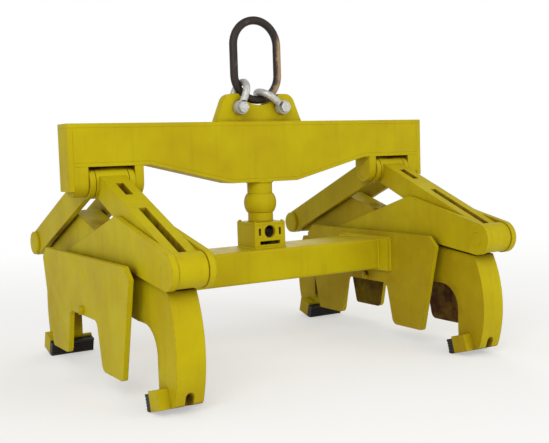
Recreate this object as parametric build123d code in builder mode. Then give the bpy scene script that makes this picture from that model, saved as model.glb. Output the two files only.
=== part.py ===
"""Billet clamp: a beam over two scissor tongs, with hooked jaws, a latch and its lifting link.

Millimetres. X runs along the beam, Y across it and Z up, from the floor under the middle of the clamp.
The jaws stand open, with the beam down on the latch housing.
"""

import math
import os

from build123d import *

# Beam
beam_length = 1600.0
beam_width = 100.0
beam_top_z = 930.0
beam_end_depth = 154.0
beam_belly_depth = 238.0
belly_flat_length = 300.0
belly_slope_inset = 310.0
top_plate_thickness = 16.0
side_plate_thickness = 12.0
belly_plate_thickness = 14.0
end_plate_thickness = 20.0
end_plate_drop = 86.0
diaphragm_thickness = 12.0

# Place of the tongs and their pivots
clamp_inset = 160.0
centre_pin_z = 374.0
knuckle_reach = 630.0
knuckle_rise = 84.0

# Pins and fits
centre_pin_diameter = 80.0
knuckle_pin_diameter = 50.0
hanger_pin_diameter = 60.0
pin_head_thickness = 14.0
pin_head_margin = 23.0
running_clearance = 0.05
bolt_clearance = 0.2
rest_clearance = 0.3
open_pivot_clearance = 4.0

# Layers of a tong, counted outwards from its middle plane
jaw_thickness = 100.0
side_clearance = 2.0
cheek_thickness = 22.0
guide_stand_off = 25.0
guide_thickness = 18.0

# Hanger lugs and links
hanger_lug_thickness = 34.0
hanger_lug_width = 100.0
hanger_eye_radius = 57.5
hanger_headroom = 0.5
slot_link_width = 84.0
slot_link_bush_radius = 56.0
link_slot = 28.0
slot_start = 105.0
bridge_start = 205.0
bridge_length = 110.0
pair_link_width = 100.0
pair_link_boss = 12.0
pair_link_bar = 22.0

# Arms, along the arm from the centre pin and up from it
cheek_knuckle_radius = 60.0
tail_knuckle_radius = 48.0
arm_boss_radius = 85.0
arm_peak_reach = 240.0
arm_peak_rise = 236.0
arm_under_reach = 344.0
arm_under_rise = 60.0
arm_end_reach = 380.0
arm_end_rise = 46.0
arm_end_drop = 61.0
arm_corner_radius = 25.0
arm_peak_radius = 40.0

# Jaw plates, outwards from the centre pin
jaw_tip_reach = 490.0
foot_slope = 16.0
foot_length = 126.0
shoe_depth = 100.0
shoe_far_depth = 44.0
shoe_width = 178.0
shoe_height = 66.0
foot_corner_radius = 20.0
tip_sink = 4.0
jaw_top_reach = 592.0
jaw_top_rise = 16.0
jaw_bulge = 39.0
jaw_shoulder_reach = 330.0
jaw_shoulder_rise = 44.0
jaw_root_reach = 150.0
jaw_root_gap = 8.0
jaw_root_drop = 61.0
jaw_chin_reach = 200.0
jaw_chin_drop = 96.0
throat_top_reach = 350.0
throat_top_drop = 108.0
throat_reach = 500.0
throat_radius = 95.0
throat_low_rise = 38.0
pad_in_reach = 165.0
pad_out_reach = 370.0
pad_slope_reach = 345.0
pad_low_in_drop = 71.0
pad_low_out_drop = 51.0
pad_top_in_drop = 34.0
pad_top_out_rise = 40.0

# Jaw inserts and their bolts
insert_depth = 30.0
insert_height = 58.0
tooth_pitch = 10.0
tooth_count = 4
tooth_depth = 4.0
insert_bolt_diameter = 16.0
insert_bolt_rise = 24.0
insert_bolt_grip = 18.0
pocket_width = 30.0
pocket_depth = 40.0

# Guide plates, outwards from the middle and up or down from the centre pin
guide_top_rise = 84.0
guide_top_half = 450.0
guide_corner = 40.0
guide_tip_drop = 301.0
guide_tip_outer = 362.0
guide_tip_inner = 180.0
guide_tip_corner = 14.0
guide_tip_inner_corner = 30.0
guide_gap_drop = 131.0
guide_gap_half = 140.0
guide_gap_radius = 30.0
stay_clearance = 11.0
stay_tube_diameter = 32.0
stay_bolt_diameter = 20.0

# Crossbeam
crossbeam_width = 220.0
crossbeam_height = 128.0
crossbeam_drop = 9.0
crossbeam_wall = 10.0
flange_thickness = 16.0
flange_margin_y = 60.0
flange_margin_z = 4.0
spacer_diameter = 120.0

# Latch
housing_size = 140.0
housing_wall = 16.0
housing_height = 94.0
slot_plate_thickness = 10.0
slot_plate_screw_diameter = 8.0
window_diameter = 50.0
window_rise = 66.0
side_slot_offset = 46.0
side_slot_width = 10.0
side_slot_height = 28.0
low_slot_length = 92.0
low_slot_height = 14.0
low_slot_rise = 22.0
hook_rod_diameter = 40.0
hook_head_length = 92.0
hook_head_height = 36.0
hook_head_rise = 36.0
hook_clearance = 3.0
hook_rod_above_pin = 34.0
column_diameter = 100.0
collar_diameter = 130.0
collar_height = 74.0
collar_sink = 5.0
collar_pin_diameter = 20.0
collar_pin_inset = 1.0

# Lifting lug, shackles and master link
lug_thickness = 40.0
lug_base_half = 195.0
lug_top_half = 150.0
lug_top_rise = 110.0
lug_corner_radius = 45.0
shackle_spacing = 192.0
shackle_pin_rise = 56.0
shackle_slack = 17.5
shackle_body_diameter = 28.0
shackle_pin_diameter = 26.0
shackle_eye_diameter = 54.0
shackle_inside_width = 47.0
shackle_inside_length = 92.0
shackle_bow_width = 75.0
cotter_diameter = 5.0
cotter_length = 50.0
ring_bar_diameter = 32.0
ring_inside_width = 166.0
ring_inside_length = 280.0
ring_clearance = 0.8
saddle_gap = 5.0

# Hexagon sizes, as shares of the thread
hex_across_flats = 1.5
hex_head_height = 0.65
hex_nut_height = 0.8

# Worked out from the sizes above
beam_half = beam_length / 2
beam_under_z = beam_top_z - beam_end_depth
belly_under_z = beam_top_z - beam_belly_depth
box_half = beam_half - end_plate_thickness
clamp_x = beam_half - clamp_inset
hanger_drop = hanger_eye_radius + hanger_headroom
hanger_pin_z = beam_under_z - hanger_drop
knuckle_z = centre_pin_z + knuckle_rise
jaw_half = jaw_thickness / 2
cheek_in = jaw_half + side_clearance
cheek_out = cheek_in + cheek_thickness
guide_in = cheek_out + guide_stand_off
guide_out = guide_in + guide_thickness
pair_link_spread = jaw_half + side_clearance + pair_link_boss
pair_link_out = pair_link_spread + pair_link_bar
hanger_lug_in = pair_link_out + side_clearance
hanger_lug_out = hanger_lug_in + hanger_lug_thickness
hanger_end = box_half - clamp_x
stay_drop = arm_boss_radius + stay_tube_diameter / 2 + stay_clearance
crossbeam_half = clamp_x - guide_out - flange_thickness
crossbeam_z = centre_pin_z - crossbeam_drop
crossbeam_top_z = crossbeam_z + crossbeam_height / 2
housing_top_z = crossbeam_top_z + housing_height + slot_plate_thickness
collar_z = (belly_under_z + housing_top_z) / 2 - collar_sink
shackle_pin_z = beam_top_z + shackle_pin_rise
ring_radius = (ring_inside_width + ring_bar_diameter) / 2
crown_reach = shackle_inside_length + shackle_body_diameter / 2
crown_aside = crown_reach * math.sin(math.radians(shackle_slack))
crown_along = crown_reach * math.cos(math.radians(shackle_slack))
ring_hold = ring_inside_width / 2 - shackle_body_diameter / 2 - ring_clearance
ring_reach = crown_along + math.sqrt(ring_hold**2 - crown_aside**2)
ring_low_z = shackle_pin_z + math.sqrt(ring_reach**2 - (shackle_spacing / 2) ** 2)
shackle_aim = math.degrees(math.asin(shackle_spacing / 2 / ring_reach))
ring_straight = ring_inside_length - ring_inside_width

CLAMPS = (("left", -clamp_x), ("right", clamp_x))


def save(piece, name):
    """Labels a finished piece and writes it."""
    piece.part.label = name
    export_step(piece.part, f"parts/{name}.step")


def cross_plane(x, side=1):
    """Plane across the beam at x: its own x points to the given side (1 back, -1 front), its y up."""
    return Plane(origin=(x, 0, 0), x_dir=(0, side, 0), z_dir=(side, 0, 0))


def end_plane(x, y, z, way):
    """Plane square to the beam at a point, facing along X the given way (1 or -1)."""
    return Plane(origin=(x, y, z), x_dir=(0, 1, 0), z_dir=(way, 0, 0))


def tangent_point(target, centre, radius, turn):
    """Where a line from the target touches a circle, to the left (1) or right (-1) of its centre."""
    across = centre[0] - target[0]
    up = centre[1] - target[1]
    distance = math.hypot(across, up)
    angle = math.atan2(up, across) + turn * math.asin(radius / distance)
    reach = math.sqrt(distance**2 - radius**2)
    return (target[0] + reach * math.cos(angle), target[1] + reach * math.sin(angle))


def foot_point(along, up):
    """Point of a jaw's foot, counted along its sole from the tip and up from it."""
    slope = math.radians(foot_slope)
    reach = jaw_tip_reach + along * math.cos(slope) - up * math.sin(slope)
    return (reach, -tip_sink + along * math.sin(slope) + up * math.cos(slope))


def foot_plane(x, side, along, up):
    """Plane square to a jaw's sole, facing outwards, with its y pointing up from the sole."""
    slope = math.radians(foot_slope)
    reach, height = foot_point(along, up)
    return Plane(
        origin=(x, side * reach, height),
        x_dir=(-side, 0, 0),
        z_dir=(0, side * math.cos(slope), math.sin(slope)),
    )


def hexagon(thread):
    """Hexagon of a bolt head or nut for a thread diameter."""
    RegularPolygon(radius=hex_across_flats * thread / 2, side_count=6, major_radius=False)


# Beam


def belly_line(rise):
    """Points of the beam's underside from end to end, raised by a plate's thickness."""
    slope_end = beam_half - belly_slope_inset
    flat_end = belly_flat_length / 2
    right = [(flat_end, belly_under_z), (slope_end, beam_under_z), (box_half, beam_under_z)]
    left = [(-x, z) for x, z in reversed(right)]
    return [(x, z + rise) for x, z in left + right]


def make_beam():
    """The welded box beam: sides, top, bent belly, ends and the diaphragms over the hanger lugs."""
    under_top_z = beam_top_z - top_plate_thickness
    belly_top = belly_line(belly_plate_thickness)
    side_in = beam_width / 2 - side_plate_thickness

    with BuildPart() as sides:
        with BuildSketch(Plane.XZ.offset(side_in)):
            with BuildLine():
                Polyline(*belly_top, (box_half, under_top_z), (-box_half, under_top_z), close=True)
            make_face()
        extrude(amount=side_plate_thickness)
        mirror(about=Plane.XZ)
    save(sides, "beam_side_plates")

    with BuildPart() as top:
        with BuildSketch(Plane.XY.offset(under_top_z)):
            Rectangle(beam_length, beam_width)
        extrude(amount=top_plate_thickness)
        chamfer(top.edges().filter_by(Axis.X).group_by(Axis.Z)[-1], length=top_plate_thickness / 6)
    save(top, "beam_top_plate")

    with BuildPart() as belly:
        with BuildSketch(Plane.XZ):
            with BuildLine():
                Polyline(*belly_line(0), *reversed(belly_top), close=True)
            make_face()
        extrude(amount=beam_width / 2, both=True)
    save(belly, "beam_belly_plate")

    with BuildPart() as ends:
        for x, way in ((-box_half, -1), (box_half, 1)):
            low = beam_under_z - end_plate_drop
            with BuildSketch(end_plane(x, 0, (low + under_top_z) / 2, way)):
                Rectangle(beam_width, under_top_z - low)
            extrude(amount=end_plate_thickness)
    save(ends, "beam_end_plates")

    with BuildPart() as diaphragms:
        low = beam_under_z + belly_plate_thickness
        for _, middle in CLAMPS:
            for start, thickness in hanger_places(middle):
                with BuildSketch(cross_plane(start + thickness / 2)):
                    with Locations((0, (low + under_top_z) / 2)):
                        Rectangle(2 * side_in, under_top_z - low)
                extrude(amount=diaphragm_thickness / 2, both=True)
    save(diaphragms, "beam_diaphragms")


def make_lifting_lug():
    """Plate on the beam with a hole for each shackle pin and a saddle under the master link."""
    saddle_radius = ring_radius + ring_bar_diameter / 2 + saddle_gap
    with BuildPart() as lug:
        with BuildSketch(Plane.XZ):
            with BuildLine():
                FilletPolyline(
                    (-lug_base_half, beam_top_z),
                    (-lug_top_half, beam_top_z + lug_top_rise),
                    (lug_top_half, beam_top_z + lug_top_rise),
                    (lug_base_half, beam_top_z),
                    radius=[0, lug_corner_radius, lug_corner_radius, 0],
                    close=True,
                )
            make_face()
            with Locations((0, ring_low_z)):
                Circle(saddle_radius, mode=Mode.SUBTRACT)
            with Locations((-shackle_spacing / 2, shackle_pin_z), (shackle_spacing / 2, shackle_pin_z)):
                Circle(shackle_pin_diameter / 2 + running_clearance, mode=Mode.SUBTRACT)
        extrude(amount=lug_thickness / 2, both=True)
    save(lug, "lifting_lug")


def hanger_places(middle):
    """Start along X and thickness of a tong's two hanger lugs, the outer one against the end plate."""
    outer = hanger_end - hanger_lug_in
    if middle < 0:
        return ((middle - hanger_end, outer), (middle + hanger_lug_in, hanger_lug_thickness))
    return ((middle - hanger_lug_out, hanger_lug_thickness), (middle + hanger_lug_in, outer))


def make_hangers():
    """Hanger lugs under the beam and the pins that are welded into them."""
    with BuildPart() as lugs:
        for _, middle in CLAMPS:
            for start, thickness in hanger_places(middle):
                with BuildSketch(cross_plane(start)):
                    with Locations((0, (beam_under_z + hanger_pin_z) / 2)):
                        Rectangle(hanger_lug_width, hanger_drop)
                    with Locations((0, hanger_pin_z)):
                        Circle(hanger_lug_width / 2)
                        Circle(hanger_pin_diameter / 2 + running_clearance, mode=Mode.SUBTRACT)
                extrude(amount=thickness)
    save(lugs, "hanger_lugs")

    with BuildPart() as pins:
        for _, middle in CLAMPS:
            way = math.copysign(1, middle)
            with BuildSketch(end_plane(middle - way * hanger_lug_out, 0, hanger_pin_z, way)):
                Circle(hanger_pin_diameter / 2)
            extrude(amount=hanger_lug_out + hanger_end)
    save(pins, "hanger_pins")


# Links


def link_outline(width):
    """Long side of a bar from the hanger pin to the knuckle, with round ends."""
    with BuildSketch(mode=Mode.PRIVATE) as bar:
        with Locations((0, hanger_pin_z), (knuckle_reach, knuckle_z)):
            Circle(width / 2)
        make_hull()
    add(bar.sketch)


def link_bores(plane):
    """The running bore at the hanger pin and the wide bore at the knuckle, where the loop is open."""
    with BuildSketch(plane) as bores:
        with Locations((0, hanger_pin_z)):
            Circle(hanger_pin_diameter / 2 + running_clearance)
        with Locations((knuckle_reach, knuckle_z)):
            Circle(knuckle_pin_diameter / 2 + open_pivot_clearance)
    return bores.sketch


def make_slot_link(middle, name):
    """Front link: a bar with two slots either side of a bridge, and a bush at each end."""
    plane = cross_plane(middle, -1)
    slope = math.atan2(knuckle_z - hanger_pin_z, knuckle_reach)
    bore = knuckle_pin_diameter / 2 + open_pivot_clearance
    slot_end = math.hypot(knuckle_reach, knuckle_z - hanger_pin_z) - bore - side_clearance
    with BuildPart() as link:
        with BuildSketch(plane):
            link_outline(slot_link_width)
        extrude(amount=jaw_half, both=True)
        with BuildSketch(plane):
            for start, end in ((slot_start, bridge_start), (bridge_start + bridge_length, slot_end)):
                reach = (start + end) / 2
                place = (reach * math.cos(slope), hanger_pin_z + reach * math.sin(slope), 0)
                with Locations(Location(place, (0, 0, math.degrees(slope)))):
                    Rectangle(end - start, 2 * slot_link_width)
        extrude(amount=link_slot / 2, both=True, mode=Mode.SUBTRACT)
        with BuildSketch(plane):
            with Locations((0, hanger_pin_z)):
                Circle(hanger_eye_radius)
        extrude(amount=pair_link_spread - side_clearance, both=True)
        with BuildSketch(plane):
            with Locations((knuckle_reach, knuckle_z)):
                Circle(slot_link_bush_radius)
        extrude(amount=jaw_half, both=True)
        extrude(link_bores(plane), amount=guide_out, both=True, mode=Mode.SUBTRACT)
    save(link, name)


def make_pair_link(middle, name):
    """Back link: a pair of bars outside the front link at the hanger and outside the arm at the knuckle."""
    plane = cross_plane(middle, 1)
    with BuildPart() as link:
        with BuildSketch(plane.offset(pair_link_spread)):
            link_outline(pair_link_width)
            with Locations((0, hanger_pin_z)):
                Circle(hanger_eye_radius)
        extrude(amount=pair_link_bar)
        with BuildSketch(plane.offset(jaw_half + side_clearance)):
            with Locations((knuckle_reach, knuckle_z)):
                Circle(pair_link_width / 2)
        extrude(amount=pair_link_boss)
        mirror(about=cross_plane(middle))
        extrude(link_bores(plane), amount=guide_out, both=True, mode=Mode.SUBTRACT)
    save(link, name)


# Arms


def arm_outline(plane, end_radius):
    """Long side of an arm from its knuckle over the centre pin to its jaw."""
    knuckle = (-knuckle_reach, knuckle_z)
    centre = (0, centre_pin_z)
    peak = (-arm_peak_reach, centre_pin_z + arm_peak_rise)
    under = (-arm_under_reach, centre_pin_z + arm_under_rise)
    end_low = (arm_end_reach, centre_pin_z - arm_end_drop)
    corners = [
        tangent_point(peak, knuckle, end_radius, -1),
        peak,
        (arm_end_reach, centre_pin_z + arm_end_rise),
        end_low,
        tangent_point(end_low, centre, arm_boss_radius, 1),
        tangent_point(under, centre, arm_boss_radius, -1),
        under,
        tangent_point(under, knuckle, end_radius, 1),
    ]
    radii = [0, arm_peak_radius, arm_corner_radius, arm_corner_radius, 0, 0, arm_peak_radius, 0]
    with BuildSketch(plane) as outline:
        with BuildLine():
            FilletPolyline(*corners, radius=radii, close=True)
        make_face()
        with Locations(knuckle):
            Circle(end_radius)
        with Locations(centre):
            Circle(arm_boss_radius)
    return outline.sketch


def tail_under(reach):
    """Height of an arm's underside between its boss and its knuckle, at a reach from the centre pin."""
    under = (arm_under_reach, centre_pin_z + arm_under_rise)
    touch = tangent_point(under, (0, centre_pin_z), arm_boss_radius, 1)
    share = (reach - touch[0]) / (under[0] - touch[0])
    return touch[1] + share * (under[1] - touch[1])


def arm_bores(plane):
    """Bores of an arm for its knuckle pin and for the centre pin."""
    with BuildSketch(plane) as bores:
        with Locations((-knuckle_reach, knuckle_z)):
            Circle(knuckle_pin_diameter / 2 + running_clearance)
        with Locations((0, centre_pin_z)):
            Circle(centre_pin_diameter / 2 + running_clearance)
    return bores.sketch


def make_cheeks(middle, side, name):
    """Pair of cheek plates of an arm, either side of its jaw plate."""
    plane = cross_plane(middle, side)
    with BuildPart() as cheeks:
        extrude(arm_outline(plane.offset(cheek_in), cheek_knuckle_radius), amount=cheek_thickness)
        mirror(about=cross_plane(middle))
        extrude(arm_bores(plane), amount=guide_out, both=True, mode=Mode.SUBTRACT)
    save(cheeks, name)


def make_jaw(middle, side, name):
    """C-shaped jaw plate with a wide shoe and a pocket for the insert's bolt.

    A front jaw's plate runs on over the centre pin to its knuckle. A back jaw's has pads for its cheeks.
    """
    plane = cross_plane(middle, side)
    sole_in = foot_point(insert_depth, 0)
    sole_out = foot_point(foot_length, 0)
    jaw_top = (jaw_top_reach, centre_pin_z + jaw_top_rise)
    bulge = (
        (sole_out[0] + jaw_top[0]) / 2 + jaw_bulge,
        (sole_out[1] + jaw_top[1]) / 2,
    )
    throat_top = (throat_top_reach, centre_pin_z - throat_top_drop)
    shoe_top = foot_point(insert_depth, shoe_height)
    throat_low = (throat_reach, shoe_top[1] + throat_low_rise)
    throat_middle = (throat_reach - throat_radius, throat_top[1] - throat_radius)
    with BuildPart() as jaw:
        with BuildSketch(plane) as profile:
            with BuildLine():
                Line(sole_in, sole_out)
                ThreePointArc(sole_out, bulge, jaw_top)
                Polyline(
                    jaw_top,
                    (jaw_shoulder_reach, centre_pin_z + jaw_shoulder_rise),
                    (jaw_root_reach, tail_under(jaw_root_reach) - jaw_root_gap),
                    (jaw_root_reach, centre_pin_z - jaw_root_drop),
                    (jaw_chin_reach, centre_pin_z - jaw_chin_drop),
                    throat_top,
                    (throat_middle[0], throat_top[1]),
                )
                CenterArc(throat_middle, throat_radius, 0, 90)
                Polyline((throat_reach, throat_middle[1]), throat_low, shoe_top, sole_in)
            make_face()
            fillet(profile.vertices().sort_by_distance((*sole_out, 0))[0], radius=foot_corner_radius)
        extrude(amount=jaw_half, both=True)
        if side < 0:
            extrude(arm_outline(plane, tail_knuckle_radius), amount=jaw_half, both=True)
            extrude(arm_bores(plane), amount=jaw_half, both=True, mode=Mode.SUBTRACT)
        else:
            with BuildSketch(plane):
                with BuildLine():
                    Polyline(
                        (pad_in_reach, centre_pin_z - pad_low_in_drop),
                        (pad_out_reach, centre_pin_z - pad_low_out_drop),
                        (pad_out_reach, centre_pin_z + pad_top_out_rise),
                        (pad_slope_reach, centre_pin_z + pad_top_out_rise),
                        (pad_in_reach, centre_pin_z - pad_top_in_drop),
                        close=True,
                    )
                make_face()
            extrude(amount=cheek_in, both=True)
        for depth, way in ((shoe_depth, -side), (shoe_far_depth, side)):
            with BuildSketch(plane):
                with BuildLine():
                    sole_end = foot_point(depth, 0)
                    Polyline(sole_in, sole_end, foot_point(depth, shoe_height), shoe_top, close=True)
                make_face()
            extrude(amount=way * shoe_width / 2)
        with BuildSketch(foot_plane(middle, side, foot_length - pocket_depth, insert_bolt_rise)):
            Circle(pocket_width / 2)
            with Locations((0, -insert_bolt_rise)):
                Rectangle(pocket_width, 2 * insert_bolt_rise)
        extrude(amount=2 * pocket_depth, mode=Mode.SUBTRACT)
        with BuildSketch(foot_plane(middle, side, 0, insert_bolt_rise)):
            Circle(insert_bolt_diameter / 2 + bolt_clearance)
        extrude(amount=foot_length, mode=Mode.SUBTRACT)
    save(jaw, name)


def make_insert(middle, side, name):
    """Hard bar on the front of a shoe, with teeth on its gripping face and a flat under its tip."""
    slope = math.radians(foot_slope)
    plane = cross_plane(middle, side)
    first_tooth = (insert_height - (tooth_count - 1) * tooth_pitch) / 2 + tooth_depth / 2
    with BuildPart() as insert:
        with BuildSketch(plane):
            with BuildLine():
                Polyline(
                    foot_point(tip_sink / math.sin(slope), 0),
                    foot_point(insert_depth, 0),
                    foot_point(insert_depth, insert_height),
                    foot_point(0, insert_height),
                    foot_point(0, tip_sink / math.cos(slope)),
                    close=True,
                )
            make_face()
            for index in range(tooth_count):
                up = first_tooth + index * tooth_pitch
                with BuildLine():
                    Polyline(
                        foot_point(0, up - tooth_depth),
                        foot_point(tooth_depth, up),
                        foot_point(0, up + tooth_depth),
                        close=True,
                    )
                make_face(mode=Mode.SUBTRACT)
        extrude(amount=shoe_width / 2, both=True)
        with BuildSketch(foot_plane(middle, side, insert_depth, insert_bolt_rise)):
            Circle(insert_bolt_diameter / 2 + bolt_clearance)
        extrude(amount=-insert_bolt_grip - bolt_clearance, mode=Mode.SUBTRACT)
    save(insert, name)


def make_insert_bolt(middle, side, name):
    """Hexagon bolt from the pocket in the foot into the back of the insert."""
    seat = foot_length - pocket_depth
    with BuildPart() as bolt:
        with BuildSketch(foot_plane(middle, side, seat, insert_bolt_rise)):
            hexagon(insert_bolt_diameter)
        extrude(amount=hex_head_height * insert_bolt_diameter)
        with BuildSketch(foot_plane(middle, side, insert_depth - insert_bolt_grip, insert_bolt_rise)):
            Circle(insert_bolt_diameter / 2)
        extrude(amount=seat - insert_depth + insert_bolt_grip)
    save(bolt, name)


def make_knuckle_pin(middle, side, out, name):
    """Pin of an arm's knuckle, out to both sides, with its head on the right of a back jaw's arm."""
    y = -side * knuckle_reach
    with BuildPart() as pin:
        with BuildSketch(end_plane(middle - out, y, knuckle_z, 1)):
            Circle(knuckle_pin_diameter / 2)
        extrude(amount=2 * out)
        with BuildSketch(end_plane(middle + side * out, y, knuckle_z, side)):
            Circle(knuckle_pin_diameter / 2 + pin_head_margin)
        extrude(amount=pin_head_thickness)
        rims = pin.edges().filter_by(GeomType.CIRCLE).sort_by(Axis.X, reverse=side > 0)
        chamfer(rims[0], length=pin_head_thickness / 4)
    save(pin, name)


def make_arms():
    """The four arms: two cheeks hold a back jaw, and a front jaw is one plate with its arm."""
    for name, middle in CLAMPS:
        make_cheeks(middle, 1, f"cheek_plates_{name}_back")
        for jaw_name, side, out in (("back", 1, cheek_out), ("front", -1, pair_link_out + rest_clearance)):
            make_jaw(middle, side, f"jaw_plate_{name}_{jaw_name}")
            make_insert(middle, side, f"jaw_insert_{name}_{jaw_name}")
            make_insert_bolt(middle, side, f"insert_bolt_{name}_{jaw_name}")
            make_knuckle_pin(middle, side, out, f"knuckle_pin_{name}_{jaw_name}")


# Lower frame


def make_guide_plate(middle, start, name):
    """Inverted U of plate with two tapered fingers that stand on the billets."""
    top = centre_pin_z + guide_top_rise
    tip = centre_pin_z - guide_tip_drop
    gap = centre_pin_z - guide_gap_drop
    half = [
        (guide_top_half - guide_corner, top),
        (guide_top_half, top - guide_corner),
        (guide_tip_outer, tip),
        (guide_tip_inner, tip),
        (guide_gap_half, gap),
    ]
    radii = [0, 0, guide_tip_corner, guide_tip_inner_corner, guide_gap_radius]
    other = [(-y, z) for y, z in reversed(half)]
    with BuildPart() as guide:
        with BuildSketch(cross_plane(middle + start)):
            with BuildLine():
                FilletPolyline(*half, *other, radius=radii + radii[::-1], close=True)
            make_face()
            with Locations((0, centre_pin_z)):
                Circle(centre_pin_diameter / 2 + running_clearance, mode=Mode.SUBTRACT)
            with Locations((0, centre_pin_z - stay_drop)):
                Circle(stay_bolt_diameter / 2 + bolt_clearance, mode=Mode.SUBTRACT)
        extrude(amount=guide_thickness)
    save(guide, name)


def make_crossbeam():
    """Hollow crossbeam between the tongs and the flanges that join it to the inner guide plates."""
    with BuildPart() as tube:
        with BuildSketch(cross_plane(0)):
            with Locations((0, crossbeam_z)):
                RectangleRounded(crossbeam_width, crossbeam_height, crossbeam_wall)
                Rectangle(
                    crossbeam_width - 2 * crossbeam_wall,
                    crossbeam_height - 2 * crossbeam_wall,
                    mode=Mode.SUBTRACT,
                )
        extrude(amount=crossbeam_half, both=True)
    save(tube, "crossbeam")

    with BuildPart() as flanges:
        for way in (-1, 1):
            with BuildSketch(end_plane(way * crossbeam_half, 0, crossbeam_z, way)):
                Rectangle(crossbeam_width + 2 * flange_margin_y, crossbeam_height + 2 * flange_margin_z)
            extrude(amount=flange_thickness)
            with BuildSketch(end_plane(way * crossbeam_half, 0, centre_pin_z, way)):
                Circle(centre_pin_diameter / 2 + running_clearance)
            extrude(amount=flange_thickness, mode=Mode.SUBTRACT)
    save(flanges, "crossbeam_flanges")


def make_centre_pins():
    """Centre pins that the arms cross on, their spacers, and the stay between each pair of guide plates."""
    stay_z = centre_pin_z - stay_drop
    with BuildPart() as pins:
        for way in (-1, 1):
            with BuildSketch(end_plane(way * crossbeam_half, 0, centre_pin_z, way)):
                Circle(centre_pin_diameter / 2)
            extrude(amount=flange_thickness + 2 * guide_out)
    save(pins, "centre_pins")

    with BuildPart() as spacers:
        for _, middle in CLAMPS:
            for way in (-1, 1):
                with BuildSketch(end_plane(middle + way * guide_in, 0, centre_pin_z, way)):
                    Circle(spacer_diameter / 2)
                    Circle(centre_pin_diameter / 2 + running_clearance, mode=Mode.SUBTRACT)
                extrude(amount=rest_clearance - guide_stand_off)
    save(spacers, "centre_spacers")

    with BuildPart() as tubes:
        for _, middle in CLAMPS:
            with BuildSketch(end_plane(middle, 0, stay_z, 1)):
                Circle(stay_tube_diameter / 2)
                Circle(stay_bolt_diameter / 2 + bolt_clearance, mode=Mode.SUBTRACT)
            extrude(amount=guide_in, both=True)
    save(tubes, "stay_tubes")

    with BuildPart() as bolts:
        for _, middle in CLAMPS:
            with BuildSketch(end_plane(middle, 0, stay_z, 1)):
                Circle(stay_bolt_diameter / 2)
            extrude(amount=guide_out + hex_nut_height * stay_bolt_diameter, both=True)
            for way in (-1, 1):
                with BuildSketch(end_plane(middle + way * guide_out, 0, stay_z, way)):
                    hexagon(stay_bolt_diameter)
                extrude(amount=hex_head_height * stay_bolt_diameter)
    save(bolts, "stay_bolts")


# Latch


def make_latch_housing():
    """Box on the crossbeam with a window and slots in its front, and the slotted plate over it."""
    front = Plane.XZ.offset(housing_size / 2)
    slot_length = hook_head_length + 2 * hook_clearance
    slot_width = hook_rod_diameter + 2 * hook_clearance
    screw_place = housing_size - housing_wall
    screw_radius = slot_plate_screw_diameter / 2
    with BuildPart() as housing:
        with BuildSketch(Plane.XY.offset(crossbeam_top_z)):
            Rectangle(housing_size, housing_size)
            Rectangle(housing_size - 2 * housing_wall, housing_size - 2 * housing_wall, mode=Mode.SUBTRACT)
        extrude(amount=housing_height)
        with BuildSketch(front):
            with Locations((0, crossbeam_top_z + window_rise)):
                Circle(window_diameter / 2)
                with GridLocations(2 * side_slot_offset, 1, 2, 1):
                    Rectangle(side_slot_width, side_slot_height)
            with Locations((0, crossbeam_top_z + low_slot_rise)):
                Rectangle(low_slot_length, low_slot_height)
        extrude(amount=-housing_wall, mode=Mode.SUBTRACT)
        with BuildSketch(Plane.XY.offset(crossbeam_top_z + housing_height)):
            with GridLocations(screw_place, screw_place, 2, 2):
                Circle(screw_radius + bolt_clearance)
        extrude(amount=-slot_plate_thickness, mode=Mode.SUBTRACT)
    save(housing, "latch_housing")

    with BuildPart() as plate:
        with BuildSketch(Plane.XY.offset(crossbeam_top_z + housing_height)):
            Rectangle(housing_size, housing_size)
            RectangleRounded(slot_length, slot_width, hook_clearance, mode=Mode.SUBTRACT)
            with GridLocations(screw_place, screw_place, 2, 2):
                Circle(screw_radius + bolt_clearance, mode=Mode.SUBTRACT)
        extrude(amount=slot_plate_thickness)
    save(plate, "latch_slot_plate")

    with BuildPart() as screws:
        with BuildSketch(Plane.XY.offset(housing_top_z)):
            with GridLocations(screw_place, screw_place, 2, 2):
                hexagon(slot_plate_screw_diameter)
        extrude(amount=hex_head_height * slot_plate_screw_diameter)
        with BuildSketch(Plane.XY.offset(housing_top_z)):
            with GridLocations(screw_place, screw_place, 2, 2):
                Circle(screw_radius)
        extrude(amount=-2 * slot_plate_thickness + rest_clearance)
    save(screws, "slot_plate_screws")


def make_latch_column():
    """Tube under the beam for the hook's rod, with a slot that lets the collar's pin turn a quarter."""
    foot_z = housing_top_z + rest_clearance
    slot_height = collar_pin_diameter + 2 * rest_clearance
    with BuildPart() as column:
        with BuildSketch(Plane.XY.offset(foot_z)):
            Circle(column_diameter / 2)
            Circle(hook_rod_diameter / 2 + running_clearance, mode=Mode.SUBTRACT)
        extrude(amount=belly_under_z - foot_z)
        with BuildSketch(Plane.XY.offset(collar_z)):
            Rectangle(column_diameter, slot_height)
            Rectangle(slot_height, column_diameter)
            for start in (0, 180):
                with BuildLine():
                    turn = CenterArc((0, 0), column_diameter / 2, start, 90)
                    Polyline(turn @ 1, (0, 0), turn @ 0)
                make_face()
        extrude(amount=slot_height / 2, both=True, mode=Mode.SUBTRACT)
    save(column, "latch_column")


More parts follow.
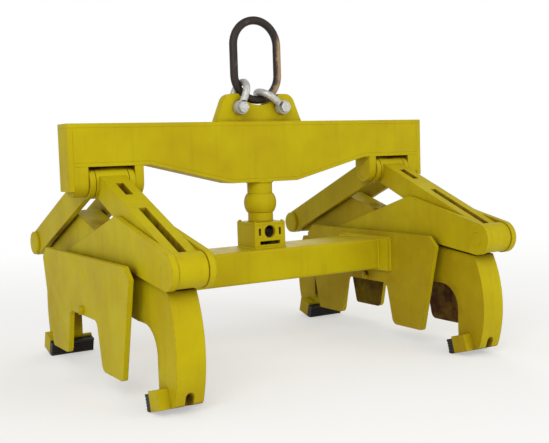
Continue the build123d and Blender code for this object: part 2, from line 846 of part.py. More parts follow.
def make_latch_hook():
    """Rod with a cross head, the collar that turns it from outside, and the pin that joins them."""
    head_z = crossbeam_top_z + hook_head_rise
    pin_length = collar_diameter - 2 * collar_pin_inset
    pin_hole = collar_pin_diameter / 2 + running_clearance
    with BuildPart() as hook:
        with BuildSketch(Plane.XY.offset(head_z)):
            Rectangle(hook_head_length, hook_rod_diameter)
        extrude(amount=hook_head_height)
        chamfer(hook.edges().filter_by(Axis.Y).group_by(Axis.Z)[0], length=hook_head_height / 4)
        with BuildSketch(Plane.XY.offset(head_z)):
            Circle(hook_rod_diameter / 2)
        extrude(amount=collar_z + hook_rod_above_pin - head_z)
        with BuildSketch(cross_plane(0)):
            with Locations((0, collar_z)):
                Circle(pin_hole)
        extrude(amount=hook_rod_diameter, both=True, mode=Mode.SUBTRACT)
    save(hook, "latch_hook")

    with BuildPart() as collar:
        with Locations((0, 0, collar_z)):
            Sphere(collar_diameter / 2)
            Box(collar_diameter, collar_diameter, collar_height, mode=Mode.INTERSECT)
            Cylinder(column_diameter / 2 + rest_clearance, 2 * collar_height, mode=Mode.SUBTRACT)
        with BuildSketch(cross_plane(0)):
            with Locations((0, collar_z)):
                Circle(pin_hole)
        extrude(amount=collar_diameter, both=True, mode=Mode.SUBTRACT)
    save(collar, "turning_collar")

    with BuildPart() as pin:
        with BuildSketch(cross_plane(0)):
            with Locations((0, collar_z)):
                Circle(collar_pin_diameter / 2)
        extrude(amount=pin_length / 2, both=True)
    save(pin, "collar_pin")


# Lifting gear


def shackle_plane(x):
    """Plane of a shackle's bow, leaning to the middle, the right one further: its y points to the crown."""
    way = math.copysign(1, x)
    lean = -way * math.radians(shackle_aim + way * shackle_slack)
    return Plane(
        origin=(x, 0, shackle_pin_z),
        x_dir=(0, 1, 0),
        z_dir=(math.cos(lean), 0, -math.sin(lean)),
    )


def make_shackle(x, name):
    """Bow shackle with its bolt-type pin, nut and cotter."""
    body_radius = shackle_body_diameter / 2
    pin_radius = shackle_pin_diameter / 2
    bow_radius = shackle_bow_width / 2 + body_radius
    crown = shackle_inside_length + body_radius
    leg = shackle_inside_width / 2 + body_radius
    eye_out = shackle_inside_width / 2 + shackle_body_diameter
    nut_out = eye_out + hex_nut_height * shackle_pin_diameter
    plane = shackle_plane(x)
    touch = tangent_point((leg, 0), (0, crown - bow_radius), bow_radius, -1)

    with BuildPart() as bow:
        with BuildLine(plane) as path:
            Line((leg, 0), touch)
            ThreePointArc(touch, (0, crown), (-touch[0], touch[1]))
            Line((-touch[0], touch[1]), (-leg, 0))
        with BuildSketch(Plane(origin=path.line @ 0, z_dir=path.line % 0)):
            Circle(body_radius)
        sweep(path=path.line)
        for y in (-eye_out, shackle_inside_width / 2):
            with BuildSketch(Plane.XZ.offset(-y)):
                with Locations((x, shackle_pin_z)):
                    Circle(shackle_eye_diameter / 2)
            extrude(amount=-shackle_body_diameter)
        with BuildSketch(Plane.XZ):
            with Locations((x, shackle_pin_z)):
                Circle(pin_radius + running_clearance)
        extrude(amount=eye_out, both=True, mode=Mode.SUBTRACT)
        for way in (-1, 1):
            with BuildSketch(Plane.XZ.offset(way * eye_out)):
                with Locations((x, shackle_pin_z)):
                    Circle(shackle_eye_diameter / 2)
            extrude(amount=way * shackle_body_diameter, mode=Mode.SUBTRACT)
    save(bow, f"shackle_bow_{name}")

    cotter_y = nut_out + cotter_diameter
    with BuildPart() as pin:
        with BuildSketch(Plane.XZ.offset(eye_out)):
            with Locations((x, shackle_pin_z)):
                hexagon(shackle_pin_diameter)
        extrude(amount=hex_head_height * shackle_pin_diameter)
        with BuildSketch(Plane.XZ.offset(eye_out)):
            with Locations((x, shackle_pin_z)):
                Circle(pin_radius)
        extrude(amount=-eye_out - cotter_y - 2 * cotter_diameter)
        with BuildSketch(cross_plane(x)):
            with Locations((cotter_y, shackle_pin_z)):
                Circle(cotter_diameter / 2 + running_clearance)
        extrude(amount=shackle_pin_diameter, both=True, mode=Mode.SUBTRACT)
    save(pin, f"shackle_pin_{name}")

    with BuildPart() as nut:
        with BuildSketch(Plane.XZ.offset(-eye_out)):
            with Locations((x, shackle_pin_z)):
                hexagon(shackle_pin_diameter)
                Circle(pin_radius + running_clearance, mode=Mode.SUBTRACT)
        extrude(amount=eye_out - nut_out)
    save(nut, f"shackle_nut_{name}")

    with BuildPart() as cotter:
        with BuildSketch(cross_plane(x)):
            with Locations((cotter_y, shackle_pin_z)):
                Circle(cotter_diameter / 2)
        extrude(amount=cotter_length / 2, both=True)
    save(cotter, f"shackle_cotter_{name}")


def make_master_link():
    """Oval forged link that the crane hook takes, standing in both shackles."""
    high_z = ring_low_z + ring_straight
    with BuildPart() as link:
        with BuildLine(Plane.XZ) as path:
            Line((ring_radius, ring_low_z), (ring_radius, high_z))
            high = (0, high_z + ring_radius)
            ThreePointArc((ring_radius, high_z), high, (-ring_radius, high_z))
            Line((-ring_radius, high_z), (-ring_radius, ring_low_z))
            low = (0, ring_low_z - ring_radius)
            ThreePointArc((-ring_radius, ring_low_z), low, (ring_radius, ring_low_z))
        with BuildSketch(Plane.XY.offset(ring_low_z)):
            with Locations((ring_radius, 0)):
                Circle(ring_bar_diameter / 2)
        sweep(path=path.line)
    save(link, "master_link")


os.makedirs("parts", exist_ok=True)
make_beam()
make_lifting_lug()
make_hangers()
for clamp, clamp_middle in CLAMPS:
    make_slot_link(clamp_middle, f"link_{clamp}_front")
    make_pair_link(clamp_middle, f"link_{clamp}_back")
make_arms()
for clamp, clamp_middle in CLAMPS:
    inwards = -math.copysign(1, clamp_middle)
    for place, facing in (("inner", inwards), ("outer", -inwards)):
        plate_start = guide_in if facing > 0 else -guide_out
        make_guide_plate(clamp_middle, plate_start, f"guide_plate_{clamp}_{place}")
make_crossbeam()
make_centre_pins()
make_latch_housing()
make_latch_column()
make_latch_hook()
make_shackle(-shackle_spacing / 2, "left")
make_shackle(shackle_spacing / 2, "right")
make_master_link()
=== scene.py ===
"""Looks of the billet clamp: worn enamel, galvanised shackles, a forged link, weld beads and studio light."""
import math

import bpy
from mathutils import Matrix, Vector


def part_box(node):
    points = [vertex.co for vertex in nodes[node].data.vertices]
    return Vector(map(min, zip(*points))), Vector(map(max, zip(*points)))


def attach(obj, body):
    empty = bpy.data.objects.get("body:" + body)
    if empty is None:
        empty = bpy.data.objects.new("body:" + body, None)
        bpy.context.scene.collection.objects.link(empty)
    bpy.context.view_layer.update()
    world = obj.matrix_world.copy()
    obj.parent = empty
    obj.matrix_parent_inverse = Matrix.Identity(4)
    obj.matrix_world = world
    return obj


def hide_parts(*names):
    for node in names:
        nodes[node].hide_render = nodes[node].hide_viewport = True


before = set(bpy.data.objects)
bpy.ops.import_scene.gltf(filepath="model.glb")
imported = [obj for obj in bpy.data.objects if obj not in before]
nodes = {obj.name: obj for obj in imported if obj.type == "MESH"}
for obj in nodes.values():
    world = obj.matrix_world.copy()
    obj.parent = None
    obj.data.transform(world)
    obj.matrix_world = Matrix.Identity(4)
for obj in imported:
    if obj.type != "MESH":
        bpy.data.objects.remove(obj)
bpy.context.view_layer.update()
MM = 0.001

# Camera, from the vanishing lines of the photograph
CAMERA_PLACE = (-1.810, -3.075, 0.813)
CAMERA_LENS = 58.3
CAMERA_SENSOR = 36.0
CAMERA_YAW = 31.37
CAMERA_PITCH = -4.55
CAMERA_ROLL = -1.80

# Weld beads
BEAD_RADIUS = 5.0 * MM
BEAD_PITCH = 7.0 * MM
BEAD_SWELL = 1.14
BEAD_CREST = 0.62
BEAD_SIDES = 8
BEAD_MERGE = 0.1 * MM

# Inner hanger lugs beside the back links
LUG_PLAY = 2.0 * MM
LUG_THICKNESS = 34.0 * MM

# Split cotters
COTTER_WIRE = 2.3 * MM
COTTER_EYE = 5.5 * MM
COTTER_TAIL = 9.0 * MM
COTTER_BENDS = 3
COTTER_SPREAD = 1.6 * MM
COTTER_DROP = 2.6 * MM
COTTER_SIDES = 10
COTTER_EYE_SECTIONS = 20

# Rust, with painted shade in the throats: centre and half sizes in metres of the places where billets rub and
# where the hangers drip
THROAT_CENTRE = (0.64, 0.40, 0.17)
THROAT_HALF = (0.30, 0.16, 0.15)
DRIP_CENTRE = (0.64, 0.0, 0.58)
DRIP_HALF = (0.30, 0.24, 0.13)
DRIP_SHARE = 0.36

# Scale dust and painted shade on the faces towards -X thin out over this depth in metres, from front to back
DUST_AND_SHADE_FRONT = -0.12
DUST_AND_SHADE_BACK = 0.05

# Tan rust and painted highlight on the link: the heights in metres where they start and where they are full
LINK_TAN_START = 1.286
LINK_TAN_FULL = 1.241

# Studio: distances in metres, lamp powers in watts
FLOOR_RADIUS = 30.0
FLOOR_SIDES = 64
FLOOR_FADE_START = 1.2
FLOOR_FADE_END = 5.0
FLOOR_WHITE_NEAR = 0.45
SURROUNDINGS = 0.62
LAMP_AIM = (0, 0, 0.6)
LAMPS = (
    ("key_lamp", (-3.3, -3.7, 3.0), 2.8, 123.0),
    ("side_lamp", (2.6, -4.0, 2.6), 2.4, 45.0),
    ("back_lamp", (2.8, 3.9, 2.6), 2.8, 60.0),
)

# Nodes of the beam, crossbeam and latch, whose enamel isn't chipped
BEAM_NODES = (
    "beam_", "lifting_lug", "hanger_", "crossbeam", "latch_", "turning_collar", "collar_pin",
)


def colour(text):
    """Linear colour of an sRGB hex value."""
    shares = [int(text[i:i + 2], 16) / 255 for i in (1, 3, 5)]
    return [c / 12.92 if c <= 0.04045 else ((c + 0.055) / 1.055) ** 2.4 for c in shares] + [1.0]


def every(size_mm):
    """Texture scale whose features are about this many millimetres across."""
    return 1 / (size_mm * MM)


def put(tree, kind, inputs=None, **settings):
    """Adds a node with its settings, and gives each named input a value or a link."""
    node = tree.nodes.new("ShaderNode" + kind)
    for key, value in settings.items():
        setattr(node, key, value)
    for key, value in (inputs or {}).items():
        if isinstance(value, bpy.types.NodeSocket):
            tree.links.new(value, node.inputs[key])
        else:
            node.inputs[key].default_value = value
    return node


def new_material(name):
    """Empty node material with its tree and its output node."""
    material = bpy.data.materials.new(name)
    material.use_nodes = True
    material.node_tree.nodes.clear()
    return material, material.node_tree, put(material.node_tree, "OutputMaterial")


# Sockets of the Mix node when it mixes colours
MIX_SHARE, MIX_FIRST, MIX_SECOND, MIX_OUT = 0, 6, 7, 2


def enamel(name, chips=0.7, dust_and_shade=0.0, soil_and_shade="#764C0F", thin_back=1.0, rust_and_shade=0.0, grime_and_shade_reach=0.06):
    """Alkyd enamel brushed on welded steel plate.

    To the eye: a dense yellow with slow clouds where the coat is thinner, brown grime and painted shade in
    corners and slots, small dark chips along worn edges, a dull gloss with fine orange peel, and shares of
    brown scale dust and painted shade on the faces towards -X, thinner at the back by thin_back, and of rust
    with painted shade in the throats where billets rub, and of rust on the edges under the hangers.
    """
    material, tree, out = new_material(name)
    place = put(tree, "TexCoord").outputs["Object"]
    cloud = put(tree, "TexNoise", {"Vector": place, "Scale": every(240), "Detail": 3.0, "Roughness": 0.55})
    blotch = put(tree, "TexNoise", {"Vector": place, "Scale": every(55), "Detail": 5.0, "Roughness": 0.6})
    speck = put(tree, "TexNoise", {"Vector": place, "Scale": every(14), "Detail": 3.0, "Roughness": 0.6})
    peel = put(tree, "TexNoise", {"Vector": place, "Scale": every(5), "Detail": 2.0})

    coat = put(tree, "MapRange", {"Value": cloud.outputs["Fac"], "From Min": 0.36, "From Max": 0.66})
    tone = put(tree, "Mix", {
        MIX_SHARE: coat.outputs["Result"], MIX_FIRST: colour("#BBAB0B"), MIX_SECOND: colour("#AF9A0C"),
    }, data_type="RGBA")
    stretch = put(tree, "Mapping", {"Vector": place, "Scale": (1.0, 1.0, 0.12)})
    runs = put(tree, "TexNoise", {"Vector": stretch.outputs["Vector"], "Scale": every(26), "Detail": 4.0})
    film = put(tree, "MapRange", {
        "Value": runs.outputs["Fac"], "From Min": 0.55, "From Max": 0.80, "To Max": 0.25,
    })
    streaked = put(tree, "Mix", {
        MIX_SHARE: film.outputs["Result"], MIX_FIRST: tone.outputs[MIX_OUT], MIX_SECOND: colour("#8F7609"),
    }, data_type="RGBA")
    coated = streaked.outputs[MIX_OUT]
    flat = put(tree, "NewGeometry").outputs["Normal"]
    facing = put(tree, "SeparateXYZ", {"Vector": flat}).outputs["X"]
    # Painted shade and brown scale dust: the faces that turn towards -X are darkened
    if dust_and_shade:
        cover = put(tree, "MapRange", {
            "Value": blotch.outputs["Fac"], "From Min": 0.30, "From Max": 0.70,
            "To Min": 0.8 * dust_and_shade, "To Max": 1.2 * dust_and_shade,
        })
        depth = put(tree, "SeparateXYZ", {"Vector": place}).outputs["Y"]
        depth_thinning = put(tree, "MapRange", {
            "Value": depth, "From Min": DUST_AND_SHADE_FRONT, "From Max": DUST_AND_SHADE_BACK, "To Min": 1.0, "To Max": thin_back,
        })
        left_faces_dust_and_shade = put(tree, "MapRange", {
            "Value": facing, "From Min": -0.2, "From Max": -0.8, "To Max": depth_thinning.outputs["Result"],
        })
        dust_and_shade_share = put(tree, "Math", {0: cover.outputs["Result"], 1: left_faces_dust_and_shade.outputs["Result"]},
                      operation="MULTIPLY")
        dusted_and_shaded = put(tree, "Mix", {
            MIX_SHARE: dust_and_shade_share.outputs["Value"], MIX_FIRST: coated, MIX_SECOND: colour(soil_and_shade),
        }, data_type="RGBA")
        coated = dusted_and_shaded.outputs[MIX_OUT]

    # Painted shade and grime: dark brown where the sky is shut out
    sky = put(tree, "AmbientOcclusion", {"Distance": grime_and_shade_reach}, samples=8).outputs["AO"]
    shut = put(tree, "MapRange", {
        "Value": sky, "From Min": 0.32, "From Max": 0.62, "To Min": 0.95, "To Max": 0.0,
    }, interpolation_type="SMOOTHSTEP")
    patchy = put(tree, "MapRange", {
        "Value": blotch.outputs["Fac"], "From Min": 0.30, "From Max": 0.62, "To Min": 0.45, "To Max": 1.0,
    })
    grime_and_shade = put(tree, "Math", {0: shut.outputs["Result"], 1: patchy.outputs["Result"]}, operation="MULTIPLY")
    dirty_and_shaded = put(tree, "Mix", {
        MIX_SHARE: grime_and_shade.outputs["Value"], MIX_FIRST: coated, MIX_SECOND: colour("#582C0B"),
    }, data_type="RGBA")

    # Edges: the coat rounds over them, and is chipped to primer in places
    rounded = put(tree, "Bevel", {"Radius": 3.5 * MM}, samples=5)
    bent = put(tree, "VectorMath", {0: rounded.outputs["Normal"], 1: flat}, operation="DOT_PRODUCT")
    edge = put(tree, "MapRange", {
        "Value": bent.outputs["Value"], "From Min": 0.985, "From Max": 0.90, "To Max": chips,
    })
    chance = put(tree, "MapRange", {"Value": speck.outputs["Fac"], "From Min": 0.55, "From Max": 0.62})
    chip = put(tree, "Math", {0: edge.outputs["Result"], 1: chance.outputs["Result"]}, operation="MULTIPLY")
    chipped = put(tree, "Mix", {
        MIX_SHARE: chip.outputs["Value"], MIX_FIRST: dirty_and_shaded.outputs[MIX_OUT], MIX_SECOND: colour("#6A4810"),
    }, data_type="RGBA")

    finish = chipped.outputs[MIX_OUT]
    # Rust and painted shade: the throats where billets rub are darkened to brown, most on the faces that
    # don't turn sideways
    if rust_and_shade:
        # The same ellipsoids on both tongs and all jaws, because x and y are taken without their signs
        mirrored = put(tree, "VectorMath", {0: place}, operation="ABSOLUTE")
        throat = put(tree, "Mapping", {
            "Vector": mirrored.outputs["Vector"], "Location": THROAT_CENTRE, "Scale": THROAT_HALF,
        }, vector_type="TEXTURE")
        hanger = put(tree, "Mapping", {
            "Vector": mirrored.outputs["Vector"], "Location": DRIP_CENTRE, "Scale": DRIP_HALF,
        }, vector_type="TEXTURE")
        throat_rubs_and_shade = put(tree, "TexGradient", {"Vector": throat.outputs["Vector"]}, gradient_type="SPHERICAL")
        drips = put(tree, "TexGradient", {"Vector": hanger.outputs["Vector"]}, gradient_type="SPHERICAL")
        weak = put(tree, "Math", {0: drips.outputs["Fac"], 1: DRIP_SHARE}, operation="MULTIPLY")
        near = put(tree, "Math", {0: throat_rubs_and_shade.outputs["Fac"], 1: weak.outputs["Value"]}, operation="MAXIMUM")
        bite = put(tree, "Math", {0: near.outputs["Value"], 1: blotch.outputs["Fac"]}, operation="MULTIPLY")
        worn_and_shaded = put(tree, "MapRange", {
            "Value": bite.outputs["Value"], "From Min": 0.06, "From Max": 0.17, "To Max": rust_and_shade,
        }, interpolation_type="SMOOTHSTEP")
        sideways = put(tree, "Math", {0: facing}, operation="ABSOLUTE")
        inside = put(tree, "MapRange", {
            "Value": sideways.outputs["Value"], "From Min": 0.3, "From Max": 0.8,
            "To Min": 1.0, "To Max": 0.22,
        })
        rubbed_and_shaded = put(tree, "Math", {0: worn_and_shaded.outputs["Result"], 1: inside.outputs["Result"]},
                     operation="MULTIPLY")
        rusted_and_shaded = put(tree, "Mix", {
            MIX_SHARE: rubbed_and_shaded.outputs["Value"], MIX_FIRST: finish, MIX_SECOND: colour("#5E380C"),
        }, data_type="RGBA")
        finish = rusted_and_shaded.outputs[MIX_OUT]

    dull = put(tree, "MapRange", {
        "Value": blotch.outputs["Fac"], "From Min": 0.25, "From Max": 0.75, "To Min": 0.46, "To Max": 0.66,
    })
    rough = put(tree, "Math", {0: grime_and_shade.outputs["Value"], 1: 0.3, 2: dull.outputs["Result"]},
                operation="MULTIPLY_ADD")
    grain = put(tree, "Bump", {
        "Height": peel.outputs["Fac"], "Normal": rounded.outputs["Normal"],
        "Strength": 0.10, "Distance": 1.0 * MM,
    })
    relief = put(tree, "Bump", {
        "Height": chip.outputs["Value"], "Normal": grain.outputs["Normal"],
        "Strength": 0.25, "Distance": 0.6 * MM,
    }, invert=True)
    shader = put(tree, "BsdfPrincipled", {
        "Base Color": finish, "Roughness": rough.outputs["Value"], "Normal": relief.outputs["Normal"],
        "IOR": 1.5, "Specular IOR Level": 0.16, "Specular Tint": colour("#FFF3B0"), "Metallic": 0.0,
    })
    tree.links.new(shader.outputs["BSDF"], out.inputs["Surface"])
    return material


def galvanised_steel():
    """Hot-dip galvanised forging. To the eye: a pale dull grey with soft zinc spangles and darker seams."""
    material, tree, out = new_material("galvanised_steel")
    place = put(tree, "TexCoord").outputs["Object"]
    spangle = put(tree, "TexVoronoi", {"Vector": place, "Scale": every(9)})
    haze = put(tree, "TexNoise", {"Vector": place, "Scale": every(22), "Detail": 4.0})
    shade = put(tree, "SeparateColor", {"Color": spangle.outputs["Color"]})
    tone = put(tree, "Mix", {
        MIX_SHARE: shade.outputs["Red"], MIX_FIRST: colour("#B4B3AE"), MIX_SECOND: colour("#CFCFCB"),
    }, data_type="RGBA")
    # Painted shade: the seams are darkened where the sky is shut out
    sky = put(tree, "AmbientOcclusion", {"Distance": 0.025}, samples=6).outputs["AO"]
    shut = put(tree, "MapRange", {
        "Value": sky, "From Min": 0.25, "From Max": 0.75, "To Min": 0.8, "To Max": 0.0,
    })
    dirty_and_shaded = put(tree, "Mix", {
        MIX_SHARE: shut.outputs["Result"], MIX_FIRST: tone.outputs[MIX_OUT], MIX_SECOND: colour("#4B4238"),
    }, data_type="RGBA")
    rough = put(tree, "MapRange", {"Value": haze.outputs["Fac"], "To Min": 0.38, "To Max": 0.62})
    rounded = put(tree, "Bevel", {"Radius": 2.0 * MM}, samples=4)
    grain = put(tree, "Bump", {
        "Height": haze.outputs["Fac"], "Normal": rounded.outputs["Normal"],
        "Strength": 0.12, "Distance": 0.8 * MM,
    })
    shader = put(tree, "BsdfPrincipled", {
        "Base Color": dirty_and_shaded.outputs[MIX_OUT], "Roughness": rough.outputs["Result"],
        "Normal": grain.outputs["Normal"], "Metallic": 0.55,
    })
    tree.links.new(shader.outputs["BSDF"], out.inputs["Surface"])
    return material


def forged_steel():
    """Drop-forged link with mill scale.

    To the eye: brown-black and dull, with tan rust and a painted highlight on the outside of the right bar,
    below the crown.
    """
    material, tree, out = new_material("forged_steel")
    place = put(tree, "TexCoord").outputs["Object"]
    scale = put(tree, "TexNoise", {"Vector": place, "Scale": every(30), "Detail": 6.0, "Roughness": 0.65})
    pits = put(tree, "TexNoise", {"Vector": place, "Scale": every(5), "Detail": 4.0})
    along = put(tree, "SeparateXYZ", {"Vector": place})
    flat = put(tree, "NewGeometry").outputs["Normal"]
    facing = put(tree, "SeparateXYZ", {"Vector": flat})
    below_crown = put(tree, "MapRange", {
        "Value": along.outputs["Z"], "From Min": LINK_TAN_START, "From Max": LINK_TAN_FULL,
    })
    # Painted highlight and tan rust: the faces of the right bar that turn outwards, towards +X, are lighter
    outside = put(tree, "MapRange", {
        "Value": facing.outputs["X"], "From Min": -0.90, "From Max": 0.0,
        "To Max": below_crown.outputs["Result"],
    })
    outward_tan_and_highlight = put(tree, "MapRange", {
        "Value": along.outputs["X"], "From Min": 0.02, "From Max": 0.10, "To Max": outside.outputs["Result"],
    })
    share = put(tree, "Math", {0: outward_tan_and_highlight.outputs["Result"], 1: 0.55, 2: scale.outputs["Fac"]},
                operation="MULTIPLY_ADD")
    tan_rust_and_highlight = put(tree, "MapRange", {
        "Value": share.outputs["Value"], "From Min": 0.60, "From Max": 0.98, "To Max": 0.95,
    })
    tone = put(tree, "Mix", {
        MIX_SHARE: tan_rust_and_highlight.outputs["Result"], MIX_FIRST: colour("#291D17"), MIX_SECOND: colour("#A78A64"),
    }, data_type="RGBA")
    rough = put(tree, "MapRange", {"Value": scale.outputs["Fac"], "To Min": 0.42, "To Max": 0.75})
    grain = put(tree, "Bump", {"Height": pits.outputs["Fac"], "Strength": 0.35, "Distance": 1.0 * MM})
    shader = put(tree, "BsdfPrincipled", {
        "Base Color": tone.outputs[MIX_OUT], "Roughness": rough.outputs["Result"],
        "Normal": grain.outputs["Normal"], "Metallic": 0.25,
    })
    tree.links.new(shader.outputs["BSDF"], out.inputs["Surface"])
    return material


def hardened_steel():
    """Quenched tool steel. To the eye: near black, with a dull shine and grey scuffs on the raised teeth."""
    material, tree, out = new_material("hardened_steel")
    place = put(tree, "TexCoord").outputs["Object"]
    scuff = put(tree, "TexNoise", {"Vector": place, "Scale": every(18), "Detail": 6.0, "Roughness": 0.7})
    pits = put(tree, "TexNoise", {"Vector": place, "Scale": every(4), "Detail": 3.0})
    rounded = put(tree, "Bevel", {"Radius": 1.5 * MM}, samples=4)
    flat = put(tree, "NewGeometry").outputs["Normal"]
    bent = put(tree, "VectorMath", {0: rounded.outputs["Normal"], 1: flat}, operation="DOT_PRODUCT")
    edge = put(tree, "MapRange", {
        "Value": bent.outputs["Value"], "From Min": 0.98, "From Max": 0.88, "To Max": 0.6,
    })
    bare = put(tree, "Math", {0: edge.outputs["Result"], 1: scuff.outputs["Fac"]}, operation="MULTIPLY")
    tone = put(tree, "Mix", {
        MIX_SHARE: bare.outputs["Value"], MIX_FIRST: colour("#211D1B"), MIX_SECOND: colour("#77706A"),
    }, data_type="RGBA")
    rough = put(tree, "MapRange", {"Value": scuff.outputs["Fac"], "To Min": 0.40, "To Max": 0.70})
    grain = put(tree, "Bump", {
        "Height": pits.outputs["Fac"], "Normal": rounded.outputs["Normal"],
        "Strength": 0.2, "Distance": 0.8 * MM,
    })
    shader = put(tree, "BsdfPrincipled", {
        "Base Color": tone.outputs[MIX_OUT], "Roughness": rough.outputs["Result"],
        "Normal": grain.outputs["Normal"], "Metallic": 0.4,
    })
    tree.links.new(shader.outputs["BSDF"], out.inputs["Surface"])
    return material


def machined_steel():
    """Turned and oiled bar. To the eye: mid grey metal with a fine grain and brown oil stains."""
    material, tree, out = new_material("machined_steel")
    place = put(tree, "TexCoord").outputs["Object"]
    oil = put(tree, "TexNoise", {"Vector": place, "Scale": every(28), "Detail": 4.0})
    # Tool marks are far finer than this, and are drawn at 3 mm so that they show
    marks = put(tree, "TexNoise", {"Vector": place, "Scale": every(3), "Detail": 2.0})
    stain = put(tree, "MapRange", {
        "Value": oil.outputs["Fac"], "From Min": 0.45, "From Max": 0.75, "To Max": 0.8,
    })
    tone = put(tree, "Mix", {
        MIX_SHARE: stain.outputs["Result"], MIX_FIRST: colour("#6B6258"), MIX_SECOND: colour("#3B2716"),
    }, data_type="RGBA")
    rough = put(tree, "MapRange", {"Value": oil.outputs["Fac"], "To Min": 0.28, "To Max": 0.60})
    rounded = put(tree, "Bevel", {"Radius": 1.5 * MM}, samples=4)
    grain = put(tree, "Bump", {
        "Height": marks.outputs["Fac"], "Normal": rounded.outputs["Normal"],
        "Strength": 0.08, "Distance": 0.5 * MM,
    })
    shader = put(tree, "BsdfPrincipled", {
        "Base Color": tone.outputs[MIX_OUT], "Roughness": rough.outputs["Result"],
        "Normal": grain.outputs["Normal"], "Metallic": 0.6,
    })
    tree.links.new(shader.outputs["BSDF"], out.inputs["Surface"])
    return material


def wear(thing, material):
    """Gives an object one material."""
    thing.data.materials.clear()
    thing.data.materials.append(material)


def only(thing):
    """Selects one object and makes it active."""
    bpy.ops.object.select_all(action="DESELECT")
    thing.select_set(True)
    bpy.context.view_layer.objects.active = thing


def settle(thing):
    """Puts an object's place into its mesh."""
    only(thing)
    bpy.ops.object.transform_apply(location=True, rotation=True, scale=True)


def join(name, parts):
    """Joins finished shapes into one named piece."""
    bpy.ops.object.select_all(action="DESELECT")
    for part in parts:
        part.select_set(True)
    bpy.context.view_layer.objects.active = parts[0]
    if len(parts) > 1:
        bpy.ops.object.join()
    piece = bpy.context.view_layer.objects.active
    piece.name = name
    piece.data.name = name
    bpy.ops.object.shade_smooth()
    return piece


def bead_run(start, end):
    """Straight fillet bead: one ripple is turned up, repeated along the seam and closed at its ends."""
    start, end = Vector(start), Vector(end)
    span = end - start
    count = max(2, round(span.length / BEAD_PITCH))
    pitch = span.length / count
    bpy.ops.object.select_all(action="DESELECT")
    bpy.ops.mesh.primitive_cylinder_add(
        vertices=BEAD_SIDES, radius=BEAD_RADIUS, depth=pitch, end_fill_type="NOTHING",
        location=(0, 0, pitch / 2))
    bead = bpy.context.active_object
    settle(bead)
    bpy.ops.object.mode_set(mode="EDIT")
    bpy.ops.mesh.select_all(action="SELECT")
    bpy.ops.mesh.bisect(plane_co=(0, 0, pitch * BEAD_CREST), plane_no=(0, 0, 1))
    bpy.ops.transform.resize(value=(BEAD_SWELL, BEAD_SWELL, 1), center_override=(0, 0, 0))
    bpy.ops.object.mode_set(mode="OBJECT")
    ripples = bead.modifiers.new("ripples", "ARRAY")
    ripples.count = count
    ripples.use_relative_offset = False
    ripples.use_constant_offset = True
    ripples.constant_offset_displace = (0, 0, pitch)
    ripples.use_merge_vertices = True
    ripples.merge_threshold = BEAD_MERGE
    bpy.ops.object.modifier_apply(modifier="ripples")
    bpy.ops.object.mode_set(mode="EDIT")
    bpy.ops.mesh.select_all(action="DESELECT")
    bpy.ops.mesh.select_non_manifold()
    bpy.ops.mesh.fill_holes(sides=BEAD_SIDES)
    bpy.ops.mesh.select_all(action="SELECT")
    bpy.ops.mesh.normals_make_consistent(inside=False)
    bpy.ops.object.mode_set(mode="OBJECT")
    bead.matrix_world = Matrix.Translation(start) @ span.to_track_quat("Z", "Y").to_matrix().to_4x4()
    settle(bead)
    return bead


def bead_ring(centre, radius):
    """Round fillet bead about an upright axis, with every other section swelled to a ripple."""
    sections = 4 * round(math.pi * radius / BEAD_PITCH)
    bpy.ops.object.select_all(action="DESELECT")
    bpy.ops.mesh.primitive_torus_add(
        location=centre, major_radius=radius, minor_radius=BEAD_RADIUS, major_segments=sections,
        minor_segments=BEAD_SIDES)
    ring = bpy.context.active_object
    for vertex in ring.data.vertices:
        step = math.atan2(vertex.co.y, vertex.co.x) / (2 * math.pi) * sections
        vertex.select = round(step) % 2 == 0
    bpy.ops.object.mode_set(mode="EDIT")
    bpy.ops.transform.shrink_fatten(value=BEAD_RADIUS * (BEAD_SWELL - 1))
    bpy.ops.object.mode_set(mode="OBJECT")
    settle(ring)
    return ring


def box_seams(low, high, axis):
    """The four edges of a box's outline on the plane across one axis, at low's place on that axis."""
    across = [i for i in range(3) if i != axis]
    corners = []
    for first, second in ((low, low), (high, low), (high, high), (low, high)):
        corner = list(low)
        corner[across[0]] = first[across[0]]
        corner[across[1]] = second[across[1]]
        corners.append(tuple(corner))
    return [(corners[i], corners[(i + 1) % 4]) for i in range(4)]


def weld(name, seams, body, paint, ring=None):
    """One painted weld piece along the given seams, riding on a body."""
    parts = [bead_run(start, end) for start, end in seams]
    if ring:
        parts.append(bead_ring(*ring))
    piece = join(name, parts)
    wear(piece, paint)
    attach(piece, body)


def make_welds(paint):
    """Fillet welds on the lifting lug, hangers, column, crossbeam, flanges and latch housing."""
    low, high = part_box("lifting_lug")
    inset = BEAD_RADIUS
    seams = [((low.x + inset, y, low.z), (high.x - inset, y, low.z)) for y in (low.y, high.y)]
    weld("weld_lifting_lug", seams, "upper_beam", paint)

    low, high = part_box("hanger_lugs")
    left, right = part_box("link_left_back")[1].x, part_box("link_right_back")[0].x
    seams = []
    for link, way in ((left, 1), (right, -1)):
        face = link + way * (LUG_PLAY + LUG_THICKNESS)
        seams.append(((face, low.y + inset, high.z), (face, high.y - inset, high.z)))
    weld("weld_hangers", seams, "upper_beam", paint)

    low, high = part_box("latch_column")
    weld("weld_column", [], "upper_beam", paint, ring=((0, 0, high.z), (high.x - low.x) / 2))

    low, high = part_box("crossbeam")
    seams = box_seams(low, high, 0) + box_seams((high.x, low.y, low.z), high, 0)
    weld("weld_crossbeam", seams, "lower_frame", paint)

    low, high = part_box("crossbeam_flanges")
    seams = box_seams(low, high, 0) + box_seams((high.x, low.y, low.z), high, 0)
    weld("weld_flanges", seams, "lower_frame", paint)

    low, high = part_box("latch_housing")
    weld("weld_housing", box_seams(low, high, 2), "lower_frame", paint)


